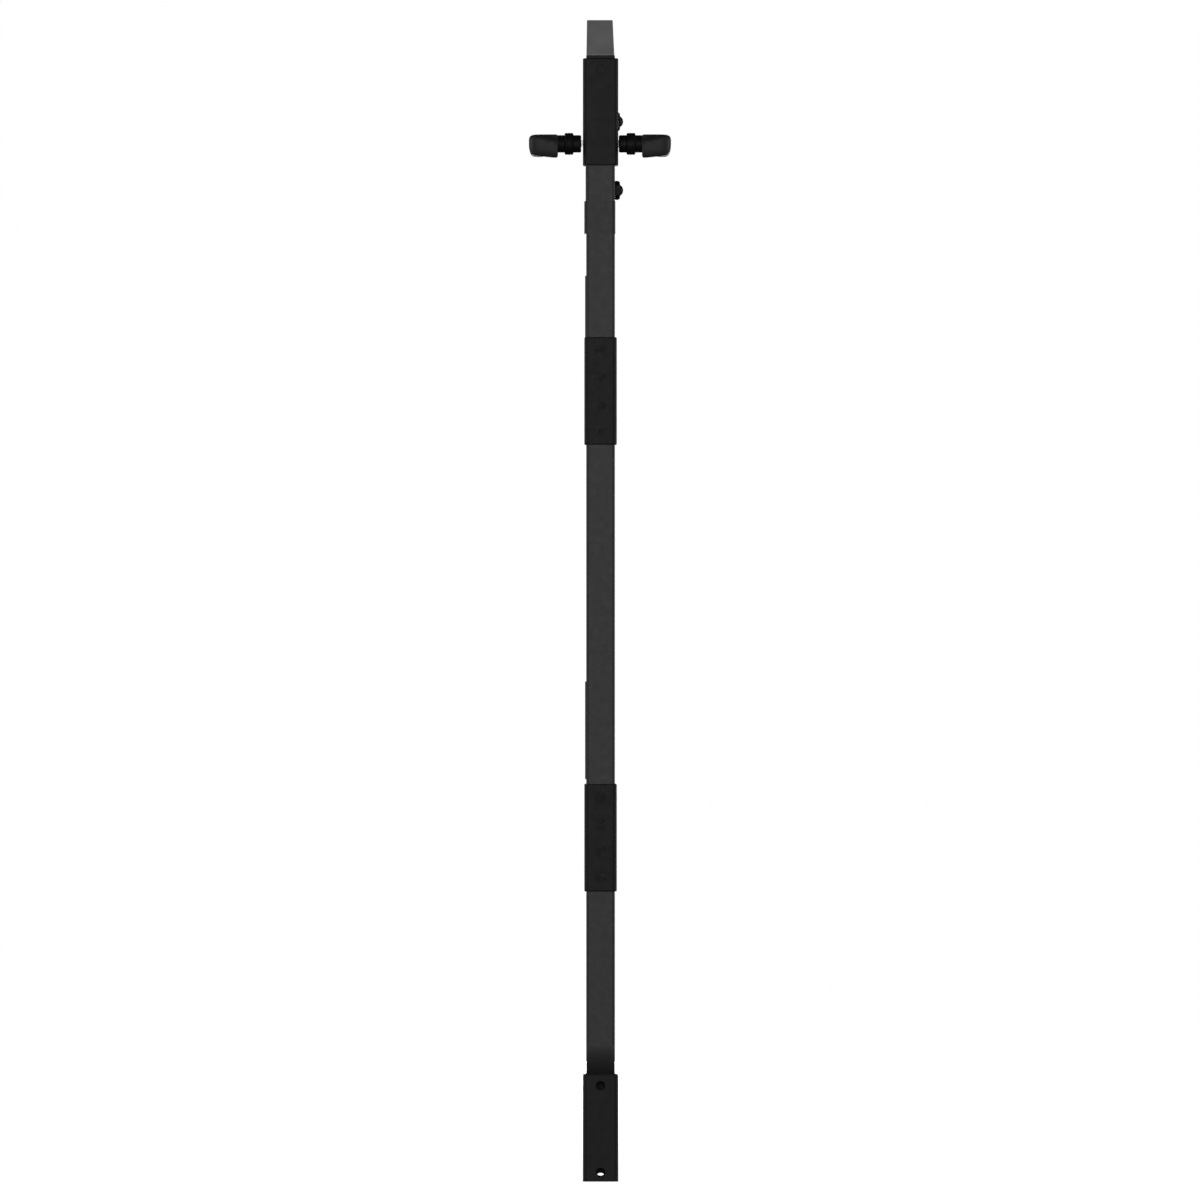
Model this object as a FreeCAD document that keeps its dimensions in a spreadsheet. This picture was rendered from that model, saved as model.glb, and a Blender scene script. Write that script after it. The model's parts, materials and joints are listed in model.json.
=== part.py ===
import FreeCAD, Part
import os
import re
import Sketcher

# Door security bar: a steel mast in three lengths on a floor socket, with a bevelled head bolt
# that a two-sided lever draws down. Millimetres, +Z up, +X to the right of someone facing the
# bar, +Y towards the door behind it. The origin is the centre of the socket's underside.

SIZES = {
    # mast tube
    "tube_width": 30.0,
    "tube_depth": 50.0,
    "tube_wall": 2.0,
    "tube_corner": 3.0,
    "foot_height": 142.0,
    "lower_length": 217.1,
    "middle_length": 466.4,
    "upper_length": 292.5,
    "joint_gap": 1.0,
    "rim_round": 1.4,
    # bolted sleeves over the two tube joints
    "sleeve_wall": 2.0,
    "sleeve_length": 112.5,
    "joint_screw_pitch": 28.0,
    "strip_width": 20.0,
    "strip_thick": 5.0,
    "strip_length": 104.0,
    # wider end sleeves: lock housing on top, floor socket below
    "end_sleeve_wall": 3.0,
    "end_sleeve_gap": 0.5,
    "end_sleeve_length": 112.0,
    "end_sleeve_corner": 4.5,
    "sight_hole_radius": 5.0,
    "sight_hole_inset": 11.8,
    "drain_hole_height": 9.6,
    "housing_overlap": 57.0,
    "floor_plate": 3.0,
    "anchor_radius": 5.5,
    # cast foot in the socket
    "foot_clear": 3.8,
    "drain_groove_radius": 5.0,
    "anchor_room_radius": 11.0,
    "anchor_room_height": 12.0,
    "foot_bend_radius": 50.0,
    "shank_length": 60.0,
    "shim_low": 18.0,
    "shim_length": 70.0,
    "socket_screw_rise": 40.0,
    "socket_screw_pitch": 32.0,
    "foot_screw_rise": 16.0,
    "foot_screw_pitch": 28.0,
    # screws: M6 and M5 countersunk, M4 for the band
    "hole_clearance": 0.1,
    "csk_head_radius": 6.0,
    "csk_head_height": 3.0,
    "csk_shank_radius": 3.0,
    "csk_hex_radius": 2.3,
    "csk_hex_depth": 2.2,
    "small_head_radius": 5.0,
    "small_head_height": 2.5,
    "small_shank_radius": 2.5,
    "small_hex_radius": 1.73,
    "small_hex_depth": 1.8,
    "small_screw_bite": 7.0,
    "band_head_radius": 3.8,
    "band_head_height": 1.8,
    "band_shank_radius": 2.0,
    "band_hex_radius": 1.44,
    "band_hex_depth": 1.4,
    "band_screw_side": 14.0,
    "housing_screw_side": 8.0,
    # lock chassis inside the top tube
    "chassis_fit": 0.1,
    "chassis_side": 4.9,
    "chassis_end": 4.0,
    "chassis_length": 90.0,
    "seat_thick": 3.0,
    "stud_radius": 4.0,
    "stud_drop": 10.8,
    "stud_inset": 10.3,
    "nut_corner_radius": 10.0,
    "nut_thick": 5.3,
    "nut_chamfer": 0.9,
    "dome_radius": 5.8,
    "dome_height": 3.4,
    "nut_hole_radius": 11.5,
    # lever works
    "axis_drop": 33.8,
    "axis_depth": 8.0,
    "lever_turn": 45.0,
    "arm_radius": 20.0,
    "arm_thick": 6.0,
    "arm_tip_radius": 5.5,
    "pin_radius": 2.5,
    "pin_slot_play": 0.25,
    "hub_radius": 8.0,
    "hub_length": 29.0,
    "running_gap": 0.05,
    "bush_radius": 10.0,
    "spindle_side": 8.0,
    "spindle_hole_radius": 7.0,
    "spindle_bite": 36.3,
    # levers, measured from their bases, which stand off the housing's sides
    "lever_shift": -0.6,
    "lever_gap": 1.2,
    "lever_length": 54.45,
    "neck_radius": 9.1,
    "ring_radius": 11.5,
    "ring_inset": 8.05,
    "ring_length": 9.4,
    "grip_width": 17.0,
    "grip_height": 24.9,
    "grip_rise": 7.4,
    "grip_front": 105.0,
    "grip_rear": 17.0,
    "return_width": 16.0,
    "return_inset": 24.15,
    "grip_round": 6.2,
    # head bolt
    "bolt_lift": 20.0,
    "bolt_body_height": 37.9,
    "bolt_side_gap": 0.5,
    "bolt_face_gap": 1.0,
    "head_height": 37.6,
    "head_base_left": 14.8,
    "head_base_right": 14.4,
    "head_top_left": 14.3,
    "head_top_right": 12.7,
    "head_base_half_depth": 24.0,
    "head_top_front": 4.0,
    "head_top_rear": 22.5,
    "head_edge_round": 0.8,
    "tail_thick": 6.0,
    "tail_width": 14.0,
    "tail_socket": 12.0,
    "tail_rear": -4.0,
    "tail_below": 9.0,
    "tail_pin_radius": 2.0,
    "spring_radius": 5.0,
    "spring_wire": 0.7,
    "spring_pocket": 25.0,
    "spring_pitch": 5.0,
    "spring_depth": 12.0,
    "spring_end_gap": 0.15,
    "seat_post_height": 4.0,
    "head_screw_offset": 9.6,
    "head_screw_radius": 4.5,
    "head_screw_height": 5.0,
    "head_screw_bite": 15.0,
    # fittings on the outside of the mast
    "band_drop": 11.8,
    "band_thick": 0.5,
    "band_lug": 2.06,
    "band_height": 33.5,
    "plate_thick": 0.67,
    "plate_depth": 40.0,
    "pad_thick": 1.2,
    "pad_depth": 36.0,
    "upper_pad_gap": 0.3,
    "upper_pad_length": 64.2,
    "lower_pad_gap": 5.0,
    "lower_pad_length": 102.1,
    "rivet_radius": 5.5,
    "rivet_flange_radius": 7.5,
    "rivet_flange": 1.2,
    "rivet_length": 16.0,
    "rivet_bore": 3.4,
    "rivet_offset": 110.0,
}

# Places worked out from the driving sizes, as formulas
HALF_WIDTH = "tube_width / 2"
HALF_DEPTH = "tube_depth / 2"
LOWER_JOINT = "(foot_height + lower_length + joint_gap / 2)"
UPPER_JOINT = "(foot_height + lower_length + joint_gap * 1.5 + middle_length)"
MAST_TOP = "(foot_height + lower_length + middle_length + upper_length + joint_gap * 2)"
AXIS_Z = f"({MAST_TOP} - axis_drop)"
HOUSING_LOW = f"({MAST_TOP} - housing_overlap)"
HOUSING_SCREW_Z = f"({HOUSING_LOW} + sight_hole_inset)"
END_HALF_WIDTH = f"({HALF_WIDTH} + end_sleeve_gap + end_sleeve_wall)"
END_HALF_DEPTH = f"({HALF_DEPTH} + end_sleeve_gap + end_sleeve_wall)"
BOLT_LOW = f"({MAST_TOP} + bolt_lift)"
BOLT_TOP = f"({MAST_TOP} + bolt_lift + bolt_body_height)"
CHASSIS_HIGH = f"({MAST_TOP} - seat_thick)"
CHASSIS_LOW = f"({MAST_TOP} - seat_thick - chassis_length)"
UPPER_STUD = f"({MAST_TOP} - stud_drop)"
LOWER_STUD = f"({CHASSIS_LOW} + stud_inset)"
PIN_Y = "(axis_depth - arm_radius * cos(lever_turn / 2))"
PIN_Z = f"({AXIS_Z} + arm_radius * sin(lever_turn / 2))"
BAND_HIGH = f"({LOWER_STUD} - band_drop)"
LEVER_BASE = f"({END_HALF_WIDTH} + lever_gap)"
LEVER_REACH = f"({LEVER_BASE} + lever_length)"
RETURN_GAP = f"({LEVER_BASE} + return_inset)"
RING_INNER = f"({LEVER_BASE} + ring_inset)"
SPINDLE = ((f"lever_shift - {LEVER_BASE} - spindle_bite", "axis_depth - spindle_side / 2",
            f"{AXIS_Z} - spindle_side / 2"),
           (f"lever_shift + {LEVER_BASE} + spindle_bite", "axis_depth + spindle_side / 2",
            f"{AXIS_Z} + spindle_side / 2"))
FOOT_HALF = ("(foot_bend_radius * cos(asin((foot_height - end_sleeve_length) / foot_bend_radius))"
             " - foot_bend_radius + tube_depth / 2)")

ALONG_X = FreeCAD.Rotation(FreeCAD.Vector(0, 1, 0), 90)
ALONG_Y = FreeCAD.Rotation(FreeCAD.Vector(1, 0, 0), -90)
ALONG_Z = FreeCAD.Rotation()
BACK_X = FreeCAD.Rotation(FreeCAD.Vector(0, 1, 0), -90)
BACK_Y = FreeCAD.Rotation(FreeCAD.Vector(1, 0, 0), 90)

doc = FreeCAD.newDocument("door_security_bar")
sheet = doc.addObject("Spreadsheet::Sheet", "Sizes")
for row, (alias, number) in enumerate(SIZES.items(), start=1):
    sheet.set(f"A{row}", alias)
    sheet.set(f"B{row}", str(number))
    sheet.setAlias(f"B{row}", alias)
doc.recompute()

nodes = []


def tie(item, prop, formula):
    """Bind a property to a formula over the sheet's aliases."""
    bound = re.sub(r"[a-z_]+", lambda word: f"Sizes.{word[0]}" if word[0] in SIZES else word[0], formula)
    item.setExpression(prop, bound)


def place(item, at, turn=ALONG_Z):
    """Put an object at a point given as three formulas."""
    item.Placement = FreeCAD.Placement(FreeCAD.Vector(), turn)
    for axis, formula in zip("xyz", at):
        tie(item, f".Placement.Base.{axis}", formula)
    return item


def keep(item, name):
    """Name a finished sub-part; its Label is its file's name."""
    item.Label = name
    nodes.append(item)
    return item


def block(name, low, high):
    """A box between two corners."""
    item = doc.addObject("Part::Box", name)
    for prop, start, end in zip(("Length", "Width", "Height"), low, high):
        tie(item, prop, f"({end}) - ({start})")
    return place(item, low)


def rod(name, radius, length, at, turn=ALONG_Z):
    """A round bar that starts at a point and runs along its turned axis."""
    item = doc.addObject("Part::Cylinder", name)
    tie(item, "Radius", radius)
    tie(item, "Height", length)
    return place(item, at, turn)


def taper(name, start_radius, end_radius, length, at, turn=ALONG_Z):
    item = doc.addObject("Part::Cone", name)
    tie(item, "Radius1", start_radius)
    tie(item, "Radius2", end_radius)
    tie(item, "Height", length)
    return place(item, at, turn)


def join(name, items):
    item = doc.addObject("Part::MultiFuse", name)
    item.Shapes = items
    return item


def group(name, items):
    item = doc.addObject("Part::Compound", name)
    item.Links = items
    return item


def cut(name, base, tool):
    item = doc.addObject("Part::Cut", name)
    item.Base = base
    item.Tool = tool
    return item


def outline(sketch, points):
    """A closed polygon whose corners are held at formulas, from the sketch's origin."""
    first = sketch.GeometryCount
    count = len(points)
    for index in range(count):
        turn = FreeCAD.Rotation(FreeCAD.Vector(0, 0, 1), 360 * index / count)
        step = FreeCAD.Rotation(FreeCAD.Vector(0, 0, 1), 360 * (index + 1) / count)
        start = turn.multVec(FreeCAD.Vector(10, 0, 0))
        end = step.multVec(FreeCAD.Vector(10, 0, 0))
        sketch.addGeometry(Part.LineSegment(start, end), False)
    for index, corner in enumerate(points):
        line = first + index
        after = first + (index + 1) % count
        sketch.addConstraint(Sketcher.Constraint("Coincident", line, 2, after, 1))
        for kind, formula in zip(("DistanceX", "DistanceY"), corner):
            number = sketch.addConstraint(Sketcher.Constraint(kind, -1, 1, line, 1, 1.0))
            tie(sketch, f"Constraints[{number}]", formula)


def circle(sketch, radius):
    """A circle about the sketch's origin."""
    line = sketch.addGeometry(Part.Circle(FreeCAD.Vector(), FreeCAD.Vector(0, 0, 1), 5), False)
    sketch.addConstraint(Sketcher.Constraint("Coincident", line, 3, -1, 1))
    number = sketch.addConstraint(Sketcher.Constraint("Radius", line, 5.0))
    tie(sketch, f"Constraints[{number}]", radius)


def new_body(name, plane, draw, length, at):
    """A PartDesign body with one padded sketch on an origin plane."""
    body = doc.addObject("PartDesign::Body", name)
    sketch = body.newObject("Sketcher::SketchObject", f"{name}_sketch")
    support = [item for item in body.Origin.OriginFeatures if item.Role == plane][0]
    sketch.AttachmentSupport = [(support, "")]
    sketch.MapMode = "FlatFace"
    draw(sketch)
    pad = body.newObject("PartDesign::Pad", f"{name}_pad")
    pad.Profile = sketch
    tie(pad, "Length", length)
    place(body, at)
    doc.recompute()
    return body


def round_edges(body, name, radius, wanted):
    """Fillet the edges of the body's tip that a test picks."""
    base = body.Tip
    picked = [f"Edge{n}" for n, edge in enumerate(base.Shape.Edges, start=1) if wanted(edge)]
    fillet = body.newObject("PartDesign::Fillet", f"{body.Name}_{name}")
    fillet.Base = (base, picked)
    tie(fillet, "Radius", radius)
    doc.recompute()


def upright(edge):
    low, high = edge.BoundBox.ZMin, edge.BoundBox.ZMax
    return high - low > 0.99 * edge.Length


def rectangle(width, depth):
    """Corner formulas of a rectangle centred on the origin."""
    return [(f"-({width}) / 2", f"-({depth}) / 2"), (f"({width}) / 2", f"-({depth}) / 2"),
            (f"({width}) / 2", f"({depth}) / 2"), (f"-({width}) / 2", f"({depth}) / 2")]


def box_section(name, width, depth, side_wall, end_wall, corner, inner_corner, length, low):
    """A rectangular tube along Z with rounded corners."""
    inner_width = f"{width} - 2 * ({side_wall})"
    inner_depth = f"{depth} - 2 * ({end_wall})"

    def draw(sketch):
        outline(sketch, rectangle(width, depth))
        outline(sketch, rectangle(inner_width, inner_depth))

    body = new_body(name, "XY_Plane", draw, length, ("0", "0", low))
    round_edges(body, "outer", corner, lambda edge: upright(edge) and not within(edge, body))
    round_edges(body, "inner", inner_corner, lambda edge: upright(edge) and within(edge, body))
    return body


def round_rims(body, ends):
    """Round the outer rim of a box section at its low or high end."""
    box = body.Tip.Shape.BoundBox
    levels = [box.ZMin if end == "low" else box.ZMax for end in ends]
    round_edges(body, "rims", "rim_round",
                lambda edge: edge.BoundBox.ZLength < 0.01 and not within(edge, body)
                and min(abs(edge.BoundBox.ZMax - level) for level in levels) < 0.01)


def within(edge, body):
    """True for an edge that lies inside the body's outer faces, as a bore's edges do."""
    centre = edge.CenterOfMass
    box = body.Tip.Shape.BoundBox
    return abs(centre.x) < box.XMax - 0.1 and abs(centre.y) < box.YMax - 0.1


def screw_parts(name, places, size, length, gap="0"):
    """Countersunk shapes at places, each (point, turn); a gap makes them larger all round."""
    made = []
    for number, (at, turn) in enumerate(places, start=1):
        cone = taper(f"{name}_head_{number}", f"{size}_head_radius + {gap}",
                     f"{size}_shank_radius + {gap}", f"{size}_head_height", at, turn)
        shank = rod(f"{name}_shank_{number}", f"{size}_shank_radius + {gap}", length, at, turn)
        made.append(join(f"{name}_{number}", [cone, shank]))
    return made


def screw_set(name, places, size, length):
    """Countersunk socket screws as one node, and the tool that cuts their clearance holes."""
    made = []
    for number, (screw, (at, turn)) in enumerate(zip(screw_parts(name, places, size, length), places),
                                                 start=1):
        socket = doc.addObject("Part::Prism", f"{name}_socket_{number}")
        socket.Polygon = 6
        tie(socket, "Circumradius", f"{size}_hex_radius")
        tie(socket, "Height", f"{size}_hex_depth")
        made.append(cut(f"{name}_cut_{number}", screw, place(socket, at, turn)))
    keep(group(f"{name}_group", made), name)
    return group(f"{name}_holes", screw_parts(f"{name}_hole", places, size, length, "hole_clearance"))


def make_joint(name, joint_z):
    """A sleeve over a tube joint, its eight screws and the two nut strips inside."""
    sleeve = box_section(f"{name}_sleeve_body", "tube_width + 2 * sleeve_wall",
                         "tube_depth + 2 * sleeve_wall", "sleeve_wall", "sleeve_wall",
                         "tube_corner + sleeve_wall", "tube_corner", "sleeve_length",
                         f"{joint_z} - sleeve_length / 2")
    face = f"({HALF_DEPTH} + sleeve_wall)"
    places = []
    for step in ("-1.5", "-0.5", "0.5", "1.5"):
        height = f"{joint_z} + {step} * joint_screw_pitch"
        places.append((("0", f"-{face}", height), ALONG_Y))
        places.append((("0", face, height), BACK_Y))
    round_rims(sleeve, ("low", "high"))
    holes = screw_set(f"{name}_joint_screws", places, "csk", "sleeve_wall + tube_wall + strip_thick + 1")
    inner = f"({HALF_DEPTH} - tube_wall)"
    low = f"{joint_z} - strip_length / 2"
    high = f"{joint_z} + strip_length / 2"
    front = block(f"{name}_front_strip", ("-strip_width / 2", f"-{inner}", low),
                  ("strip_width / 2", f"-{inner} + strip_thick", high))
    rear = block(f"{name}_rear_strip", ("-strip_width / 2", f"{inner} - strip_thick", low),
                 ("strip_width / 2", inner, high))
    keep(cut(f"{name}_sleeve_cut", sleeve, holes), f"{name}_joint_sleeve")
    keep(group(f"{name}_strips", [cut(f"{name}_front_cut", front, holes),
                                  cut(f"{name}_rear_cut", rear, holes)]), f"{name}_nut_strips")
    return holes


def mast_tube(name, length, low, tools):
    tube = box_section(f"{name}_body", "tube_width", "tube_depth", "tube_wall", "tube_wall",
                       "tube_corner", "tube_corner - tube_wall", length, low)
    keep(cut(f"{name}_cut", tube, group(f"{name}_tools", tools)), name)


def make_socket():
    """Floor socket: an end sleeve on a floor plate, its side screws and the anchor hole."""
    width = f"2 * {END_HALF_WIDTH}"
    depth = f"2 * {END_HALF_DEPTH}"
    wall = box_section("socket_wall", width, depth, "end_sleeve_wall", "end_sleeve_wall",
                       "end_sleeve_corner", "end_sleeve_corner - end_sleeve_wall",
                       "end_sleeve_length", "0")
    round_rims(wall, ("high",))
    floor = new_body("socket_floor", "XY_Plane",
                     lambda sketch: outline(sketch, rectangle(width, depth)), "floor_plate",
                     ("0", "0", "0"))
    round_edges(floor, "corner", "end_sleeve_corner", upright)
    places = []
    for height in ("socket_screw_rise", "socket_screw_rise + socket_screw_pitch"):
        places.append(((f"-{END_HALF_WIDTH}", "0", height), ALONG_X))
        places.append(((END_HALF_WIDTH, "0", height), BACK_X))
    holes = screw_set("socket_screws", places, "small", "end_sleeve_wall + small_screw_bite")
    sight = sight_holes("socket", "0", ("drain_hole_height", "end_sleeve_length - sight_hole_inset"))
    anchor = rod("socket_anchor_hole", "anchor_radius", "floor_plate + 2", ("0", "0", "-1"))
    tools = group("socket_tools", [holes, sight, anchor])
    keep(cut("socket_cut", join("socket_whole", [wall, floor]), tools), "bottom_socket")
    return holes


def sight_holes(name, low, heights):
    """Round holes from front to rear through an end sleeve."""
    made = []
    for number, height in enumerate(heights, start=1):
        made.append(rod(f"{name}_sight_{number}", "sight_hole_radius", f"2 * {END_HALF_DEPTH} + 2",
                        ("0", f"-{END_HALF_DEPTH} - 1", f"{low} + {height}"), ALONG_Y))
    return group(f"{name}_sights", made)


def make_foot(socket_holes):
    """Cast foot: a shank in the lowest tube, faces that bend inwards, and a leg in the socket."""
    inner_x = f"({HALF_WIDTH} - tube_wall - chassis_fit)"
    inner_y = f"({HALF_DEPTH} - tube_wall - chassis_fit)"
    shank = new_body("foot_shank", "XY_Plane",
                     lambda sketch: outline(sketch, rectangle(f"2 * {inner_x}", f"2 * {inner_y}")),
                     "shank_length", ("0", "0", "foot_height"))
    round_edges(shank, "corner", "tube_corner - tube_wall + 0.5", upright)
    middle = new_body("foot_middle", "XY_Plane",
                      lambda sketch: outline(sketch, rectangle("tube_width", "tube_depth")),
                      "foot_height - end_sleeve_length", ("0", "0", "end_sleeve_length"))
    bends = []
    for number, side in enumerate(("1", "-1"), start=1):
        bends.append(rod(f"foot_bend_{number}", "foot_bend_radius", "tube_width + 2",
                         (f"-{HALF_WIDTH} - 1", f"{side} * (foot_bend_radius - {HALF_DEPTH})",
                          "foot_height"), ALONG_X))
    curved = doc.addObject("Part::MultiCommon", "foot_curved")
    curved.Shapes = [middle, *bends]
    leg = block("foot_leg", (f"-{HALF_WIDTH}", f"-{FOOT_HALF}", "foot_clear"),
                (HALF_WIDTH, FOOT_HALF, "end_sleeve_length"))
    places = []
    lowest = "foot_height + foot_screw_rise"
    for height in (lowest, f"{lowest} + foot_screw_pitch"):
        places.append(((f"-{HALF_WIDTH}", "0", height), ALONG_X))
        places.append(((HALF_WIDTH, "0", height), BACK_X))
    holes = screw_set("foot_screws", places, "small", "tube_wall + small_screw_bite")
    groove = rod("foot_drain_groove", "drain_groove_radius", f"2 * {FOOT_HALF} + 2",
                 ("0", f"-{FOOT_HALF} - 1", "foot_clear"), ALONG_Y)
    room = rod("foot_anchor_room", "anchor_room_radius", "anchor_room_height",
               ("0", "0", "foot_clear - 1"))
    whole = join("foot_whole", [shank, curved, leg])
    tools = group("foot_tools", [holes, socket_holes, groove, room])
    keep(cut("foot_cut", whole, tools), "foot_spigot")
    shims = []
    wall = f"({HALF_DEPTH} + end_sleeve_gap)"
    high = "shim_low + shim_length"
    shims.append(block("front_shim", (f"-{HALF_WIDTH}", f"-{wall}", "shim_low"),
                       (HALF_WIDTH, f"-{FOOT_HALF}", high)))
    shims.append(block("rear_shim", (f"-{HALF_WIDTH}", FOOT_HALF, "shim_low"),
                       (HALF_WIDTH, wall, high)))
    bore = new_body("socket_bore", "XY_Plane", lambda sketch: outline(sketch, rectangle(
        "tube_width + 2 * end_sleeve_gap", "tube_depth + 2 * end_sleeve_gap")),
        "end_sleeve_length", ("0", "0", "0"))
    round_edges(bore, "corner", "end_sleeve_corner - end_sleeve_wall", upright)
    fitted = []
    for shim in shims:
        common = doc.addObject("Part::Common", f"{shim.Name}_fitted")
        common.Base = shim
        common.Tool = bore
        fitted.append(common)
    keep(group("shim_pair", fitted), "foot_shims")
    return holes


def make_housing():
    """Top housing around the lock, with openings for the spindle, one nut and its rear screws."""
    shell = box_section("housing_body", f"2 * {END_HALF_WIDTH}", f"2 * {END_HALF_DEPTH}",
                        "end_sleeve_wall", "end_sleeve_wall", "end_sleeve_corner",
                        "end_sleeve_corner - end_sleeve_wall", "end_sleeve_length", HOUSING_LOW)
    round_rims(shell, ("low", "high"))
    spindle = rod("housing_spindle_hole", "spindle_hole_radius", f"2 * {END_HALF_WIDTH} + 2",
                  (f"-{END_HALF_WIDTH} - 1", "axis_depth", AXIS_Z), ALONG_X)
    nut = rod("housing_nut_hole", "nut_hole_radius", "end_sleeve_wall + 2",
              (f"{END_HALF_WIDTH} - end_sleeve_wall - 1", "0", UPPER_STUD), ALONG_X)
    sight = sight_holes("housing", HOUSING_LOW, ("end_sleeve_length - sight_hole_inset",))
    places = [((side, END_HALF_DEPTH, HOUSING_SCREW_Z), BACK_Y)
              for side in ("-housing_screw_side", "housing_screw_side")]
    holes = screw_set("housing_screws", places, "small",
                      "end_sleeve_wall + end_sleeve_gap + tube_wall + chassis_end - 0.5")
    keep(cut("housing_cut", shell, group("housing_tools", [spindle, nut, sight, holes])), "top_housing")
    return holes


def make_chassis(screw_holes):
    """Lock chassis in the top tube: a thick open box with bushes, studs and their domed nuts."""
    width = "tube_width - 2 * tube_wall - 2 * chassis_fit"
    depth = "tube_depth - 2 * tube_wall - 2 * chassis_fit"
    frame = box_section("chassis_body", width, depth, "chassis_side", "chassis_end", "tube_corner - 1",
                        "tube_corner - 1", "chassis_length", CHASSIS_LOW)
    inside = f"({HALF_WIDTH} - tube_wall - chassis_fit - chassis_side)"
    bush_hole = rod("bush_hole", "bush_radius + running_gap", "tube_width + 2",
                    (f"-{HALF_WIDTH} - 1", "axis_depth", AXIS_Z), ALONG_X)
    stud_holes = []
    studs = []
    nuts = []
    for number, height in enumerate((UPPER_STUD, LOWER_STUD), start=1):
        stud_holes.append(rod(f"stud_hole_{number}", "stud_radius + running_gap", HALF_WIDTH,
                              (inside, "0", height), ALONG_X))
        studs.append(rod(f"stud_{number}", "stud_radius", f"{HALF_WIDTH} + nut_thick - {inside}",
                         (inside, "0", height), ALONG_X))
        nuts.append(make_nut(number, height))
    studs_out = group("stud_tools", stud_holes)
    keep(cut("chassis_cut", frame, group("chassis_tools", [bush_hole, studs_out, screw_holes])),
         "lock_chassis")
    keep(group("stud_pair", studs), "chassis_studs")
    keep(group("nut_pair", nuts), "dome_nuts")
    for name, start in (("left_bush", f"-{HALF_WIDTH}"), ("right_bush", inside)):
        outer = rod(f"{name}_outer", "bush_radius", f"{HALF_WIDTH} - {inside}",
                    (start, "axis_depth", AXIS_Z), ALONG_X)
        bore = rod(f"{name}_bore", "hub_radius + running_gap", f"{HALF_WIDTH} - {inside}",
                   (start, "axis_depth", AXIS_Z), ALONG_X)
        keep(cut(f"{name}_cut", outer, bore), name)
    return [bush_hole, studs_out]


def make_nut(number, height):
    """Hexagon nut with a small dome and a blind thread bore."""
    prism = doc.addObject("Part::Prism", f"nut_prism_{number}")
    prism.Polygon = 6
    tie(prism, "Circumradius", "nut_corner_radius")
    tie(prism, "Height", "nut_thick")
    place(prism, (HALF_WIDTH, "0", height), ALONG_X)
    dome = doc.addObject("Part::Sphere", f"nut_dome_{number}")
    ball = "((dome_radius * dome_radius + dome_height * dome_height) / (2 * dome_height))"
    tie(dome, "Radius", ball)
    tie(dome, "Angle1", f"asin(({ball} - dome_height) / {ball})")
    place(dome, (f"{HALF_WIDTH} + nut_thick + dome_height - {ball}", "0", height), ALONG_X)
    flare = taper(f"nut_flare_{number}", "nut_corner_radius - nut_chamfer + nut_thick / 2",
                  "nut_corner_radius - nut_chamfer", "nut_thick", (HALF_WIDTH, "0", height), ALONG_X)
    chamfered = doc.addObject("Part::Common", f"nut_chamfered_{number}")
    chamfered.Base = prism
    chamfered.Tool = flare
    bore = rod(f"nut_bore_{number}", "stud_radius + running_gap", "nut_thick",
               (HALF_WIDTH, "0", height), ALONG_X)
    return cut(f"nut_{number}", join(f"nut_whole_{number}", [chamfered, dome]), bore)


def make_lever_works():
    """Square spindle, follower with its arm, and the drive pin at the arm's tip."""
    keep(block("spindle_bar", *SPINDLE), "square_spindle")
    link = block("arm_link", ("-arm_thick - 1", "-arm_radius", "-arm_tip_radius"),
                 ("-1", "0", "arm_tip_radius"))
    tip = rod("arm_tip", "arm_tip_radius", "arm_thick", ("-arm_thick - 1", "-arm_radius", "0"), ALONG_X)
    arm = join("arm_turned", [link, tip])
    place(arm, ("0", "axis_depth", AXIS_Z), FreeCAD.Rotation(FreeCAD.Vector(-1, 0, 0), 1))
    tie(arm, ".Placement.Rotation.Angle", "lever_turn / 2")
    hub = rod("follower_hub", "hub_radius", "hub_length", ("-hub_length / 2", "axis_depth", AXIS_Z),
              ALONG_X)
    square = block("follower_square", *SPINDLE)
    pin_hole = rod("follower_pin_hole", "pin_radius + running_gap", "arm_thick + 2",
                   ("-arm_thick - 2", PIN_Y, PIN_Z), ALONG_X)
    keep(cut("follower_cut", join("follower_whole", [hub, arm]),
             group("follower_tools", [square, pin_hole])), "follower")
    keep(rod("pin_bar", "pin_radius", "arm_thick + tail_thick + 1.5",
             ("-arm_thick - 1", PIN_Y, PIN_Z), ALONG_X), "drive_pin")


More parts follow.
